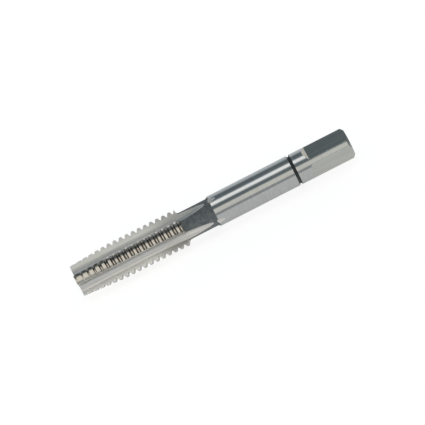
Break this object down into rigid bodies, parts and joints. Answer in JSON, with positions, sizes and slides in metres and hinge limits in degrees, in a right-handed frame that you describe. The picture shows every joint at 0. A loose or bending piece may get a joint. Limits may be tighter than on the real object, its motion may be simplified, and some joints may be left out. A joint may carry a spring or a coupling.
{
  "type": "thread tap",
  "caption": "Right-hand metric hand tap with straight flutes, a long tapered lead, a plain round shank with a marking ring and a driving square.",
  "frame": {"origin": "on the tap's axis, in the plane of its cutting end", "axes": "+X along the axis from the cutting end to the square; the four flutes open towards +Y, +Z, -Y and -Z, so the tap lies on two of its lands with a flute straight down"},
  "size_m": [0.056, 0.0066, 0.0066],
  "materials": {
    "tool_steel": "ground tool steel: near-mirror shank, satin flutes and square, dark scaled neck"
  },
  "bodies": {
    "root": {"thread_tap": "tool_steel"}
  },
  "joints": []
}
